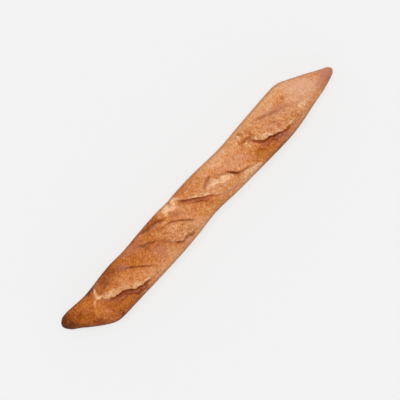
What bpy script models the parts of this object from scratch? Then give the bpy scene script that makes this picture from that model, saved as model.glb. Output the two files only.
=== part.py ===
"""A baguette: one hand-shaped loaf with four long diagonal scores, lying on its flat sole.

Metres, +Z up. X runs along the loaf, Y across it, and z = 0 is the plane that the sole rests on.
"""

import math

import bmesh
import bpy
from mathutils import Vector

# Driving dimensions.
LENGTH = 0.550
HALF = LENGTH / 2
CROWN_HEIGHT = 0.048
EQUATOR_SHARE = 0.40        # height of the widest line, as a share of the loaf's height there
SOLE_SHARE = 0.60           # half width of the flat sole, as a share of the loaf's half width
DOME_POWER = 2.25           # 2 is an ellipse, more is squarer shouldered
NOSES = {                   # each end: length over which it rounds off, height of its point
    -1: {"rounding": 0.0110, "point_height": 0.0095},
    1: {"rounding": 0.0070, "point_height": 0.0070},
}
UNDERSIDE_SWEEP = 0.032     # length over which the underside lifts off the table at each end

# Plan of the loaf: its two long edges, as (x, y), before the ends are rounded off.
LEFT_EDGE = [
    (-HALF, 0.0275), (-0.256, 0.0295), (-0.217, 0.0260), (-0.165, 0.0310), (-0.130, 0.0300),
    (-0.058, 0.0340), (-0.032, 0.0325), (0.015, 0.0342), (0.075, 0.0310), (0.120, 0.0335),
    (0.190, 0.0365), (0.204, 0.0345), (0.217, 0.0280), (0.240, 0.0155), (0.262, 0.0030), (HALF, -0.0030),
]
RIGHT_EDGE = [
    (-HALF, 0.0080), (-0.260, 0.0000), (-0.240, -0.0160), (-0.220, -0.0305), (-0.207, -0.0352),
    (-0.180, -0.0360), (-0.080, -0.0345), (-0.040, -0.0330), (0.005, -0.0290), (0.050, -0.0305),
    (0.135, -0.0340), (0.170, -0.0330), (0.220, -0.0255), (0.250, -0.0205), (HALF, -0.0130),
]
# Height along the loaf, as (x, share of the crown height), before the ends are rounded off.
HEIGHT_SHARES = [
    (-HALF, 0.46), (-0.255, 0.66), (-0.225, 0.86), (-0.190, 0.97), (-0.120, 1.00), (-0.060, 0.98),
    (0.000, 0.97), (0.060, 0.99), (0.150, 1.01), (0.195, 0.94), (0.225, 0.76), (0.255, 0.50), (HALF, 0.33),
]

# Each score opened into a long burst. Its crease is where the burst rises from the crust, its lip is
# the torn edge on the other side, and under part of the lip, from the first x of "recess" to the
# second, lies an open recess. "rise" is how far the burst stands out of the crust.
SCORES = [
    {
        "crease": [
            (-0.209, 0.0120), (-0.200, 0.0200), (-0.175, 0.0240), (-0.160, 0.0210), (-0.148, 0.0120),
            (-0.133, 0.0000), (-0.120, -0.0140), (-0.106, -0.0245),
        ],
        "lip": [
            (-0.209, 0.0020), (-0.196, -0.0045), (-0.183, -0.0070), (-0.168, -0.0110), (-0.158, -0.0190),
            (-0.145, -0.0250), (-0.128, -0.0275), (-0.106, -0.0290),
        ],
        "recess": (-0.199, -0.139),
        "recess_width": 0.0070,
        "recess_depth": 0.0060,
        "rise": 0.0042,
    },
    {
        "crease": [
            (-0.110, 0.0190), (-0.095, 0.0235), (-0.080, 0.0190), (-0.070, 0.0135), (-0.052, 0.0085),
            (-0.040, 0.0000), (-0.030, -0.0100), (-0.016, -0.0215),
        ],
        "lip": [
            (-0.110, 0.0170), (-0.095, 0.0115), (-0.085, 0.0030), (-0.076, -0.0080), (-0.068, -0.0180),
            (-0.058, -0.0230), (-0.042, -0.0255), (-0.016, -0.0260),
        ],
        "recess": (-0.109, -0.037),
        "recess_width": 0.0060,
        "recess_depth": 0.0026,
        "rise": 0.0034,
    },
    {
        "crease": [
            (-0.024, 0.0255), (-0.008, 0.0300), (0.014, 0.0275), (0.030, 0.0165), (0.038, 0.0095),
            (0.052, 0.0000), (0.063, -0.0080), (0.074, -0.0165), (0.090, -0.0215), (0.108, -0.0260),
        ],
        "lip": [
            (-0.024, 0.0220), (-0.013, 0.0130), (-0.003, 0.0070), (0.006, 0.0015), (0.018, -0.0080),
            (0.028, -0.0165), (0.044, -0.0215), (0.062, -0.0255), (0.085, -0.0280), (0.108, -0.0285),
        ],
        "recess": (-0.023, 0.034),
        "recess_width": 0.0075,
        "recess_depth": 0.0046,
        "rise": 0.0048,
    },
    {
        "crease": [
            (0.098, 0.0255), (0.115, 0.0290), (0.130, 0.0265), (0.143, 0.0200), (0.155, 0.0150),
            (0.170, 0.0085), (0.186, 0.0035), (0.200, -0.0055), (0.222, -0.0110),
        ],
        "lip": [
            (0.098, 0.0180), (0.110, 0.0060), (0.118, 0.0010), (0.126, -0.0040), (0.136, -0.0085),
            (0.144, -0.0115), (0.152, -0.0165), (0.162, -0.0210), (0.180, -0.0230), (0.200, -0.0215),
            (0.222, -0.0185),
        ],
        "recess": (0.111, 0.182),
        "recess_width": 0.0075,
        "recess_depth": 0.0062,
        "rise": 0.0046,
    },
]
END_FADE = 0.014            # length over which a burst or a recess builds up at each of its ends
BURST_FULL_SPAN = 0.020     # a burst narrower than this from lip to crease rises less
BURST_LIP_PHASE = 0.24      # how far into its arch a burst has risen at the lip: 0 flat, 0.5 fully
BURST_SQUARENESS = 0.8      # 1 is a sine arch, less is flatter topped
BURST_LUMPS = 0.16          # share by which a burst's height wanders
CREASE_WIDTH = 0.0040
CREASE_DEPTH = 0.0014
LIP_OVERHANG = 0.0022       # how far the torn edge leans over its recess
LIP_REACH = 0.0025          # width of the strip along the torn edge that leans
RECESS_WALL_PHASE = 0.30    # how far into its hollow a recess has sunk right under the lip
RECESS_SQUARENESS = 0.7
UNDERCUT = 0.0012           # how far the recess runs back under the torn edge
RAGGEDNESS = 0.0011         # wander of the torn edge along its length
WANDERS = [(610.0, 1.0, 1.0), (1130.0, 0.7, 2.1), (1970.0, 0.5, 3.7)]   # (radians per metre, share, phase)
FEATURE_STRENGTH = 0.05     # a score fainter than this draws no mesh points onto its lines

# Unevenness of the hand-shaped crust: (height, waves per metre along x, waves per metre along y, phase).
SWELLS = [(0.0007, 7.3, 4.0, 0.4), (0.0005, 17.0, -9.0, 1.9), (0.0003, 31.0, 22.0, 3.1)]
RELIEF_STARTS = 0.25        # height share of the dome over which relief builds up from the widest line

# Mesh density.
STATIONS = 124
TOP_COLUMNS = 28
FLANK_COLUMNS = 4
END_CROWDING = 0.55         # 0 spaces the stations evenly, 1 crowds them fully towards the ends
SIDE_CROWDING = 0.92        # under 1 crowds the top's columns towards the two sides

CRUST_COLOUR = (0.50, 0.19, 0.055, 1.0)
CRUST_ROUGHNESS = 0.55


def clear_scene():
    for item in list(bpy.data.objects):
        bpy.data.objects.remove(item, do_unlink=True)


def smooth_step(low, high, value):
    share = min(max((value - low) / (high - low), 0.0), 1.0)
    return share * share * (3.0 - 2.0 * share)


def curve_value(points, x):
    """The value at x of the smooth curve through points, which run from low x to high x."""
    last = len(points) - 1
    if x <= points[0][0]:
        return points[0][1]
    if x >= points[last][0]:
        return points[last][1]
    i = next(k for k in range(last) if x <= points[k + 1][0])

    def slope(k):
        before, after = points[max(k - 1, 0)], points[min(k + 1, last)]
        return (after[1] - before[1]) / (after[0] - before[0])

    (x0, y0), (x1, y1) = points[i], points[i + 1]
    width = x1 - x0
    t = (x - x0) / width
    leaving = (2 * t**3 - 3 * t**2 + 1) * y0 + (t**3 - 2 * t**2 + t) * width * slope(i)
    arriving = (3 * t**2 - 2 * t**3) * y1 + (t**3 - t**2) * width * slope(i + 1)
    return leaving + arriving


def quarter_circle(distance, radius):
    """Rises from 0 at the tip of a round nose to 1 where its rounding ends."""
    if distance >= radius:
        return 1.0
    return math.sqrt(max(1.0 - ((radius - distance) / radius) ** 2, 0.0))


def loaf_at(x):
    """Middle line, half width, and the heights of the underside, the widest line and the crown at x."""
    nose = NOSES[-1 if x < 0.0 else 1]
    from_tip = HALF - abs(x)
    rounding = quarter_circle(from_tip, nose["rounding"])
    lifting = quarter_circle(from_tip, UNDERSIDE_SWEEP)
    left = curve_value(LEFT_EDGE, x)
    right = curve_value(RIGHT_EDGE, x)
    point = nose["point_height"]
    crown = point + (CROWN_HEIGHT * curve_value(HEIGHT_SHARES, x) - point) * rounding
    underside = point * (1.0 - lifting)
    equator = underside + EQUATOR_SHARE * (crown - underside)
    return (left + right) / 2, rounding * (left - right) / 2, underside, equator, crown


def swell(x, y):
    return sum(h * math.sin(math.tau * (a * x + b * y) + p) for h, a, b, p in SWELLS)


def ragged(x, seed):
    """A wander between -1 and 1 that never repeats along the loaf."""
    waves = sum(share * math.sin(turns * x + phase * seed) for turns, share, phase in WANDERS)
    return waves / sum(share for _, share, _ in WANDERS)


def strength_between(start, end, x):
    """0 outside start and end, 1 well inside them."""
    if not start < x < end:
        return 0.0
    return smooth_step(start, start + END_FADE, x) * smooth_step(end, end - END_FADE, x)


def score_strength(score, x):
    return strength_between(score["crease"][0][0], score["crease"][-1][0], x)


def recess_strength(score, x):
    return strength_between(*score["recess"], x)


def lip_line(score, number, x):
    return curve_value(score["lip"], x) + RAGGEDNESS * ragged(x, number) * score_strength(score, x)


def feature_lines(x):
    """The y of each crease, lip and recess edge that a ring at x passes over."""
    lines = []
    for number, score in enumerate(SCORES):
        if score_strength(score, x) > FEATURE_STRENGTH:
            lip = lip_line(score, number, x)
            lines += [curve_value(score["crease"], x), lip]
            if recess_strength(score, x) > FEATURE_STRENGTH:
                lines += [lip - score["recess_width"] / 3, lip - score["recess_width"]]
    return lines


def arch(phase, share, squareness):
    """A hump over 0 to 1 that starts as if it had already run through phase of its length."""
    return math.sin(math.pi * (phase + (1.0 - phase) * share)) ** squareness


def burst_rise(score, number, x, y, lip, crease):
    span = max(crease - lip, LIP_REACH)
    share = (y - lip) / span
    if not 0.0 <= share < 1.0:
        return 0.0
    height = score["rise"] * min(span / BURST_FULL_SPAN, 1.0)
    lumps = 1.0 + BURST_LUMPS * ragged(x + y, number + len(SCORES))
    return height * lumps * arch(BURST_LIP_PHASE, share, BURST_SQUARENESS)


def crease_groove(y, crease):
    return CREASE_DEPTH * max(1.0 - abs(y - crease) / CREASE_WIDTH, 0.0)


def recess_shape(score, y, lip):
    """How far the recess sinks at y, and how far the surface there shifts along y."""
    share = (lip - y) / score["recess_width"]
    if 0.0 < share < 1.0:
        sink = score["recess_depth"] * arch(RECESS_WALL_PHASE, share, RECESS_SQUARENESS)
        return sink, UNDERCUT * (1.0 - share)
    return 0.0, -LIP_OVERHANG * max(1.0 - abs(y - lip) / LIP_REACH, 0.0)


def relief(x, y):
    """How far the scores lift the surface at (x, y), and how far they shift it along y."""
    out, shift = 0.0, 0.0
    for number, score in enumerate(SCORES):
        strength = score_strength(score, x)
        if strength == 0.0:
            continue
        crease = curve_value(score["crease"], x)
        lip = lip_line(score, number, x)
        out += strength * (burst_rise(score, number, x, y, lip, crease) - crease_groove(y, crease))
        opening = recess_strength(score, x)
        sink, lean = recess_shape(score, y, lip)
        out -= opening * sink
        shift += opening * lean
    return out, shift


def dome_point(x, y, loaf):
    """The point of the finished top surface that stands over (x, y)."""
    middle, half_width, _, equator, crown = loaf
    dome = crown - equator
    side = min(abs(y - middle) / half_width, 1.0)
    up = max(1.0 - side**DOME_POWER, 0.0) ** (1.0 / DOME_POWER)
    normal = Vector((
        0.0,
        math.copysign(side ** (DOME_POWER - 1.0) / half_width, y - middle),
        up ** (DOME_POWER - 1.0) / dome,
    )).normalized()
    out, shift = relief(x, y)
    fade = smooth_step(0.0, RELIEF_STARTS, up)
    return Vector((x, y + shift * fade, equator + dome * up)) + normal * (out + swell(x, y)) * fade


def top_columns(x, loaf):
    """The y of each point of a ring's top, from the +Y side to the -Y side, drawn onto the score lines."""
    middle, half_width = loaf[0], loaf[1]
    columns = []
    for k in range(TOP_COLUMNS + 1):
        turn = math.cos(math.pi * k / TOP_COLUMNS)
        columns.append(middle + half_width * math.copysign(abs(turn) ** SIDE_CROWDING, turn))
    taken = {0, TOP_COLUMNS}
    for line in feature_lines(x):
        free = [k for k in range(TOP_COLUMNS + 1) if k not in taken]
        nearest = min(free, key=lambda k: abs(columns[k] - line))
        if columns[nearest + 1] < line < columns[nearest - 1]:
            columns[nearest] = line
            taken.add(nearest)
    return columns


def ring_points(x):
    """One closed ring: over the top from +Y to -Y, then under and across the flat sole."""
    loaf = loaf_at(x)
    middle, half_width, underside, equator, _ = loaf
    ring = [dome_point(x, y, loaf) for y in top_columns(x, loaf)]
    sole = SOLE_SHARE * half_width
    turns = [math.pi / 2 * k / FLANK_COLUMNS for k in range(1, FLANK_COLUMNS + 1)]
    for side, order in ((-1.0, turns), (1.0, turns[::-1])):
        for turn in order:
            reach = sole + (half_width - sole) * math.cos(turn)
            level = underside + (equator - underside) * (1.0 - math.sin(turn))
            ring.append(Vector((x, middle + side * reach, underside if turn == turns[-1] else level)))
    return ring


def stations():
    """Places of the rings along x, closer together towards the rounded ends."""
    places = []
    for k in range(1, STATIONS):
        even = 2.0 * k / STATIONS - 1.0
        crowded = math.sin(math.pi / 2 * even)
        places.append(HALF * ((1.0 - END_CROWDING) * even + END_CROWDING * crowded))
    return places


def centre_on_origin(mesh):
    """Moves the mesh so that the middle of its box, at its lowest level, is the origin."""
    low = Vector(min(v.co[axis] for v in mesh.verts) for axis in range(3))
    high = Vector(max(v.co[axis] for v in mesh.verts) for axis in range(3))
    middle = (low + high) / 2
    bmesh.ops.translate(mesh, verts=mesh.verts, vec=-Vector((middle.x, middle.y, low.z)))


def make_baguette():
    mesh = bmesh.new()
    rings = [[mesh.verts.new(point) for point in ring_points(x)] for x in stations()]
    for ring, following in zip(rings, rings[1:]):
        for k in range(len(ring)):
            after = (k + 1) % len(ring)
            mesh.faces.new((ring[k], ring[after], following[after], following[k]))
    for end, ring in ((-HALF, rings[0]), (HALF, rings[-1])):
        middle, _, _, equator, _ = loaf_at(end)
        tip = mesh.verts.new((end, middle, equator))
        for k in range(len(ring)):
            mesh.faces.new((tip, ring[k], ring[(k + 1) % len(ring)]))
    centre_on_origin(mesh)
    bmesh.ops.triangulate(mesh, faces=mesh.faces)
    bmesh.ops.recalc_face_normals(mesh, faces=mesh.faces)
    data = bpy.data.meshes.new("baguette")
    mesh.to_mesh(data)
    mesh.free()
    data.shade_smooth()
    loaf = bpy.data.objects.new("baguette", data)
    bpy.context.collection.objects.link(loaf)
    return loaf


def make_crust():
    crust = bpy.data.materials.new("crust")
    crust.use_nodes = True
    surface = crust.node_tree.nodes["Principled BSDF"]
    surface.inputs["Base Color"].default_value = CRUST_COLOUR
    surface.inputs["Roughness"].default_value = CRUST_ROUGHNESS
    surface.inputs["Metallic"].default_value = 0.0
    return crust


clear_scene()
make_baguette().data.materials.append(make_crust())
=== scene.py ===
import math

import bpy
import numpy as np
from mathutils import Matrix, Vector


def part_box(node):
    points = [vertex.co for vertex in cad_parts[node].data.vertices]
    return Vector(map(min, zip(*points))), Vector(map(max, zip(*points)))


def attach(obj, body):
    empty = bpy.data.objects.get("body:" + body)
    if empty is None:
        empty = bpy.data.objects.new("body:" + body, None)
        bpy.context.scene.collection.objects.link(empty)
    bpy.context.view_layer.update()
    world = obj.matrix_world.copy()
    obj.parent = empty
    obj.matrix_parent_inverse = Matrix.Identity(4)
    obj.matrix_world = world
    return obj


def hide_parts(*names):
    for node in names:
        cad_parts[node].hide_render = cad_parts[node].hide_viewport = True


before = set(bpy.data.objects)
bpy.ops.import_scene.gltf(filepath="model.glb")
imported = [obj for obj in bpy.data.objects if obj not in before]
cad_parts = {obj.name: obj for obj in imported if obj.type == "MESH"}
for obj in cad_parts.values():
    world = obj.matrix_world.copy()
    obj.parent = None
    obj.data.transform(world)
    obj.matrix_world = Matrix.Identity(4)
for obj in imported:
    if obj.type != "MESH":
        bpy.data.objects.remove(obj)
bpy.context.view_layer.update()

# ----------------------------------------------------------------------------------------------
# The loaf: one continuous crust of lean wheat dough, rolled out by hand, slashed four times on the
# slant and baked on a hot deck, where each slash burst open and its edge lifted into a torn lip.
# Here it is in its own millimetres: x along the loaf, y across it and z up from the sole.
# ----------------------------------------------------------------------------------------------
LOAF_LENGTH = 550.0
HALF = LOAF_LENGTH / 2
CROWN_HEIGHT = 48.0
EQUATOR_SHARE = 0.40
SOLE_SHARE = 0.60
DOME_POWER = 2.25
UNDERSIDE_SWEEP = 32.0
HEAD = {"rounding": 11.0, "point_height": 9.5}
TAIL = {"rounding": 7.0, "point_height": 7.0}
LEFT_EDGE = [
    (-HALF, 27.5), (-256, 29.8), (-217, 27.2), (-165, 31.2), (-130, 31.0), (-95, 33.0), (-58, 34.2),
    (-34, 33.2), (-22, 34.2), (15, 34.6), (75, 31.8), (120, 34.0), (190, 36.8), (204, 34.5),
    (217, 28.0), (240, 15.8), (262, 3.2), (HALF, -3.0),
]
RIGHT_EDGE = [
    (-HALF, 11.0), (-260, 0.8), (-240, -16.0), (-220, -30.3), (-207, -35.0), (-180, -35.6),
    (-80, -35.0), (-40, -33.0), (5, -29.2), (50, -31.6), (135, -33.6), (170, -32.8), (220, -25.0),
    (250, -19.8), (HALF, -12.6),
]
HEIGHT_SHARES = [
    (-HALF, 0.46), (-255, 0.66), (-225, 0.86), (-190, 0.97), (-120, 1.00), (-60, 0.98), (0, 0.97),
    (60, 0.99), (150, 1.01), (195, 0.94), (225, 0.76), (255, 0.50), (HALF, 0.33),
]
# Each score: the crease that its burst rises from and how deep that is along the loaf, the torn lip
# opposite, how deep the recess under it is and how much painted shade darkens it, the strand of
# half-torn dough along it, how far the burst rises and how torn it is, and how its crumb tore: in
# grains, in fibres or in blisters.
SCORES = [
    {
        "crease": [
            (-209, 12), (-200, 20), (-175, 24), (-160, 21), (-148, 12), (-133, 0.8), (-120, -12),
            (-106, -22.5),
        ],
        "crease_depths": [(-209, 0.0), (-170, 0.1), (-152, 0.7), (-140, 1.4), (-118, 1.4), (-106, 0.0)],
        "crease_width": 1.3,
        "lip": [
            (-209, 10), (-203, 7), (-198.5, 0.5), (-195, -3), (-184, -4.8), (-174, -7.0),
            (-168, -9.0), (-163, -12.0), (-158, -16.5), (-148, -20.5), (-128, -27), (-106, -29),
        ],
        "recess_depths": [
            (-206, 0.0), (-200, 0.9), (-195, 1.8), (-185, 3.2), (-172, 4.0), (-160, 4.2), (-146, 3.3),
            (-134, 1.0), (-118, 0.0),
        ],
        "recess_painted_shades": [
            (-206, 0.2), (-196, 0.45), (-186, 0.75), (-174, 0.9), (-160, 0.9), (-148, 1.0),
            (-130, 0.2),
        ],
        "recess_width": 13.0, "rise": 3.7, "pale_lip": 9.0, "cream": 0.44, "tear_reach": 16.0,
        "strand": 0.6, "strand_at": -4.9,
        "torn": [(-209, 0.4), (-198, 0.7), (-170, 0.75), (-150, 0.8), (-125, 0.5), (-106, 0.1)],
        "grain": 0.25, "fibre": 0.70, "blister": 0.0,
    },
    {
        "crease": [
            (-110, 19), (-95, 23.5), (-80, 19), (-70, 13.5), (-52, 8.5), (-40, 0), (-30, -10),
            (-16, -21.5),
        ],
        "crease_depths": [
            (-110, 0.0), (-78, 0.1), (-68, 1.1), (-58, 0.9), (-46, 1.6), (-32, 1.3), (-16, 0.0),
        ],
        "crease_width": 1.3,
        "lip": [
            (-110, 17), (-104, 14.8), (-95, 11.8), (-88, 6.5), (-82, 2), (-76, -5), (-72, -10),
            (-67, -16.5), (-60, -21), (-50, -21.5), (-42, -24.5), (-30, -26), (-16, -26),
        ],
        "recess_depths": [
            (-110, 0.0), (-102, 0.7), (-90, 0.3), (-80, 0.6), (-70, 0.9), (-63, 1.8), (-56, 1.3),
            (-50, 1.8), (-42, 1.4), (-34, 0.0),
        ],
        "recess_painted_shades": [(-110, 0.4), (-90, 0.3), (-76, 0.45), (-60, 0.55), (-34, 0.4)],
        "recess_width": 6.5, "rise": 3.8, "pale_lip": 2.8, "cream": 0.6, "tear_reach": 40.0,
        "strand": 0.4, "strand_at": -4.0,
        "torn": [(-110, 0.15), (-88, 0.2), (-74, 0.8), (-60, 0.9), (-36, 0.9), (-16, 0.3)],
        "grain": 0.75, "fibre": 0.10, "blister": 1.0,
    },
    {
        "crease": [
            (-32, 29.5), (-8, 31), (14, 27.5), (30, 16.5), (34.5, 12.5), (41, 8.2), (50, 2.3),
            (57, -1.0), (61.5, -6.8), (66, -12.8), (70, -14.8), (76, -16.2), (83, -18.6), (93, -23.3),
            (108, -27),
        ],
        "crease_depths": [
            (-32, 0.0), (14, 0.0), (30, 0.35), (44, 0.6), (54, 0.9), (58, 1.9), (66, 2.2), (71, 1.3),
            (83, 1.1), (96, 0.8), (108, 0.0),
        ],
        "crease_width": 1.6,
        "lip": [
            (-32, 28.5), (-26, 26), (-20, 21.8), (-14, 17), (-8, 12), (-2, 8), (3, 5), (8, 0.5),
            (14, -4.5), (20, -9.5), (28, -16.5), (44, -21.5), (62, -25.5), (85, -28), (108, -28.5),
        ],
        "recess_depths": [
            (-32, 0.0), (-23, 2.0), (-8, 3.0), (4, 3.2), (12, 2.2), (22, 0.9), (36, 0.5), (58, 0.4),
            (66, 0.0),
        ],
        "recess_painted_shades": [
            (-30, 0.6), (-20, 0.75), (-14, 0.45), (-2, 0.65), (4, 0.7), (11, 0.35), (26, 0.1),
        ],
        "recess_width": 9.0, "rise": 4.6, "pale_lip": 3.0, "cream": 0.8, "tear_reach": 40.0,
        "strand": 0.8, "strand_at": -3.4,
        "torn": [
            (-30, 0.5), (-5, 0.9), (15, 0.8), (25, 0.45), (45, 0.45), (60, 0.7), (90, 0.8),
            (108, 0.4),
        ],
        "grain": 0.80, "fibre": 0.15, "blister": 0.40,
    },
    {
        "crease": [
            (98, 25.5), (115, 29), (130, 26.5), (143, 20), (155, 15), (170, 8.5), (186, 3.5),
            (200, -5.5), (222, -11),
        ],
        "crease_depths": [
            (98, 0.0), (134, 0.2), (146, 1.0), (164, 1.1), (174, 0.8), (188, 0.4), (200, 0.4),
            (212, 0.3), (222, 0.0),
        ],
        "crease_width": 2.8,
        "lip": [
            (98, 19), (106, 10.5), (112, 5.5), (118, 1.5), (124, -3), (129, -6.5), (137, -8.5),
            (143, -11.5), (147, -12.5), (154, -15.5), (162, -18.5), (180, -22), (200, -21.5),
            (222, -18.5),
        ],
        "recess_depths": [
            (108, 0.0), (114, 1.0), (121, 2.8), (131, 4.4), (140, 5.0), (152, 4.6), (160, 2.4),
            (172, 0.8), (186, 0.2), (196, 0.0),
        ],
        "recess_painted_shades": [
            (104, 0.4), (118, 0.5), (127, 0.6), (136, 0.8), (146, 0.95), (156, 0.75), (175, 0.2),
        ],
        "recess_width": 11.5, "rise": 4.4, "pale_lip": 9.0, "cream": 0.36, "tear_reach": 60.0,
        "strand": 0.5, "strand_at": -4.6,
        "torn": [(98, 0.6), (118, 0.8), (150, 0.85), (200, 0.9), (222, 0.6)],
        "grain": 1.15, "fibre": 0.0, "blister": 0.30,
    },
]
END_FADE = 14.0
TATTERS = [(1.5, 11.0, 20), (0.9, 4.5, 30), (0.4, 2.1, 40)]
STATIONS = 600
TOP_COLUMNS = 116
FLANK_COLUMNS = 18
SOLE_COLUMNS = 12


def step(low, high, value):
    """Rises smoothly from 0 at low to 1 at high."""
    share = np.clip((value - low) / (high - low), 0.0, 1.0)
    return share * share * (3.0 - 2.0 * share)


def curve(points, x):
    """The smooth curve through points, read at each x."""
    px, py = np.array(points, float).T
    before = np.maximum(np.arange(len(px)) - 1, 0)
    after = np.minimum(np.arange(len(px)) + 1, len(px) - 1)
    slopes = (py[after] - py[before]) / (px[after] - px[before])
    x = np.clip(x, px[0], px[-1])
    i = np.clip(np.searchsorted(px, x) - 1, 0, len(px) - 2)
    width = px[i + 1] - px[i]
    t = (x - px[i]) / width
    leaving = (2 * t**3 - 3 * t**2 + 1) * py[i] + (t**3 - 2 * t**2 + t) * width * slopes[i]
    arriving = (3 * t**2 - 2 * t**3) * py[i + 1] + (t**3 - t**2) * width * slopes[i + 1]
    return leaving + arriving


def scramble(cell):
    """A number under 4096 for each whole-numbered cell, the same each time."""
    return (cell[..., 0] * 73856093 ^ cell[..., 1] * 19349663 ^ cell[..., 2] * 83492791) & 4095


def noise(where, size, seed):
    """Smooth noise from about -1 to 1, in lumps about size across; where ends in x, y, z."""
    gradients = np.random.default_rng(seed).normal(size=(4096, 3))
    gradients /= np.linalg.norm(gradients, axis=1, keepdims=True)
    lattice = where / size + 100.0
    cell = np.floor(lattice).astype(np.int64)
    part = lattice - cell
    ease = part**3 * (part * (6.0 * part - 15.0) + 10.0)
    total = np.zeros(where.shape[:-1])
    for corner in np.ndindex(2, 2, 2):
        weight = np.prod(np.where(corner, ease, 1.0 - ease), axis=-1)
        total += weight * ((part - corner) * gradients[scramble(cell + corner)]).sum(axis=-1)
    return total * 1.7


def layered(where, size, layers, seed):
    """Noise on several scales, each half as large and half as strong as the one before."""
    total = sum(noise(where, size / 2**k, seed + k) / 2**k for k in range(layers))
    return total / (2.0 - 0.5 ** (layers - 1))


def bubbles(where, size, seed):
    """Round blisters about size apart: 1 on top of each and 0 at its foot, and a tone of its own."""
    spots = np.random.default_rng(seed).random((4096, 5))
    lattice = where / size + 100.0
    cell = np.floor(lattice).astype(np.int64)
    top, own = np.zeros(where.shape[:-1]), np.zeros(where.shape[:-1])
    for corner in np.ndindex(3, 3, 3):
        at = cell + corner - 1
        spot = spots[scramble(at)]
        far = np.linalg.norm(lattice - at - spot[..., :3], axis=-1) / (0.25 + 0.5 * spot[..., 3])
        rise = np.clip(1.0 - far**2, 0.0, 1.0)
        own = np.where(rise > top, spot[..., 4], own)
        top = np.maximum(top, rise)
    return top, own


def wander(x, size, seed):
    """Smooth noise along the loaf alone."""
    return noise(np.stack([x, np.full_like(x, 0.37), np.full_like(x, 0.71)], axis=-1), size, seed)


def quarter_circle(distance, radius):
    """Rises from 0 at an end to 1 at radius from it, as a rounded end does."""
    return np.sqrt(np.clip(1.0 - (np.clip(radius - distance, 0.0, None) / radius) ** 2, 0.0, 1.0))


def loaf_at(x):
    """Middle line, half width, and the heights of the underside, widest line and crown at each x."""
    head_round = quarter_circle(HALF + x, HEAD["rounding"])
    tail_round = quarter_circle(HALF - x, TAIL["rounding"])
    rounding = np.where(x < 0, head_round, tail_round)
    lifting = quarter_circle(HALF - np.abs(x), UNDERSIDE_SWEEP)
    point = np.where(x < 0, HEAD["point_height"], TAIL["point_height"])
    left, right = curve(LEFT_EDGE, x), curve(RIGHT_EDGE, x)
    crown = point + (CROWN_HEIGHT * curve(HEIGHT_SHARES, x) - point) * rounding
    underside = point * (1.0 - lifting)
    equator = underside + EQUATOR_SHARE * (crown - underside)
    return (left + right) / 2, rounding * (left - right) / 2, underside, equator, crown


# The rings of the skin stand closer together where the ends round off.
fine_x = np.linspace(-HALF, HALF, 20001)
fine_width = loaf_at(fine_x)[1]
along = np.concatenate([[0.0], np.cumsum(np.hypot(np.diff(fine_x), np.diff(fine_width)))])
ring_x = np.interp(np.linspace(0.0, along[-1], STATIONS + 2)[1:-1], along, fine_x)
middle, half_width, underside, equator, crown = loaf_at(ring_x)

# Each score's lines along the rings; the torn lip wanders.
for number, score in enumerate(SCORES):
    start, end = score["crease"][0][0], score["crease"][-1][0]
    score["strength"] = step(start, start + END_FADE, ring_x) * step(end, end - END_FADE, ring_x)
    score["depth"] = np.maximum(curve(score["recess_depths"], ring_x), 0.0)
    score["fold"] = np.maximum(curve(score["crease_depths"], ring_x), 0.0)
    straight = curve(score["lip"], ring_x)
    score["lip_slope"] = np.gradient(straight, ring_x)
    tatter = sum(amount * wander(ring_x, size, seed + number) for amount, size, seed in TATTERS)
    score["lip_y"] = straight + tatter * score["strength"]
    score["crease_y"] = curve(score["crease"], ring_x) + 0.9 * wander(ring_x, 9.0, 50 + number)
    score["crease_slope"] = np.gradient(curve(score["crease"], ring_x), ring_x)

# Over the top of each ring the points crowd towards the lips and creases, so that torn edges come
# out crisp.
turn = np.linspace(0.0, math.pi, 721)
top_turn = np.zeros((STATIONS, TOP_COLUMNS + 1))
for i in range(STATIONS):
    side = np.sign(np.cos(turn)) * np.abs(np.cos(turn)) ** (2.0 / DOME_POWER) * half_width[i]
    up = np.sin(turn) ** (2.0 / DOME_POWER) * (crown[i] - equator[i])
    crowd = np.ones_like(side)
    for score in SCORES:
        to_lip, to_crease = middle[i] + side - score["lip_y"][i], middle[i] + side - score["crease_y"][i]
        crowd += 2.4 * score["strength"][i] * np.exp(-(((to_lip + 2.0) / 4.2) ** 2))
        crowd += 0.7 * score["strength"][i] * np.exp(-((to_crease / 2.4) ** 2))
    length = np.hypot(np.diff(side), np.diff(up)) * (crowd[1:] + crowd[:-1]) / 2
    run = np.concatenate([[0.0], np.cumsum(length)])
    top_turn[i] = np.interp(np.linspace(0.0, run[-1], TOP_COLUMNS + 1), run, turn)

# Each whole ring: from the middle of the sole up the +Y flank, over the top and down the -Y flank.
cosine, sine = np.cos(top_turn), np.clip(np.sin(top_turn), 0.0, 1.0)
side_share = np.abs(cosine) ** (2.0 / DOME_POWER)
up_share = sine ** (2.0 / DOME_POWER)
dome = (crown - equator)[:, None]
half = half_width[:, None]
centre = middle[:, None]
top_y = centre + half * np.sign(cosine) * side_share
top_z = equator[:, None] + dome * up_share
top_normal_y = np.sign(cosine) * side_share ** (DOME_POWER - 1.0) / half
top_normal_z = up_share ** (DOME_POWER - 1.0) / dome
flank = np.linspace(0.0, math.pi / 2, FLANK_COLUMNS + 1)[1:]
sole_half = SOLE_SHARE * half
drop = (equator - underside)[:, None]
reach = sole_half + (half - sole_half) * np.cos(flank)
level = underside[:, None] + drop * (1.0 - np.sin(flank))
lean_out, lean_down = np.cos(flank) / (half - sole_half), -np.sin(flank) / drop
across = np.linspace(0.0, 1.0, SOLE_COLUMNS // 2 + 1)[:-1]
sole_z = np.repeat(underside[:, None], len(across), axis=1)


def round_the_ring(sole, rising, top, falling):
    """One value for each point of each ring, from its stretches."""
    return np.concatenate([sole, rising[:, ::-1], top, falling, sole[:, :0:-1]], axis=1)


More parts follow.
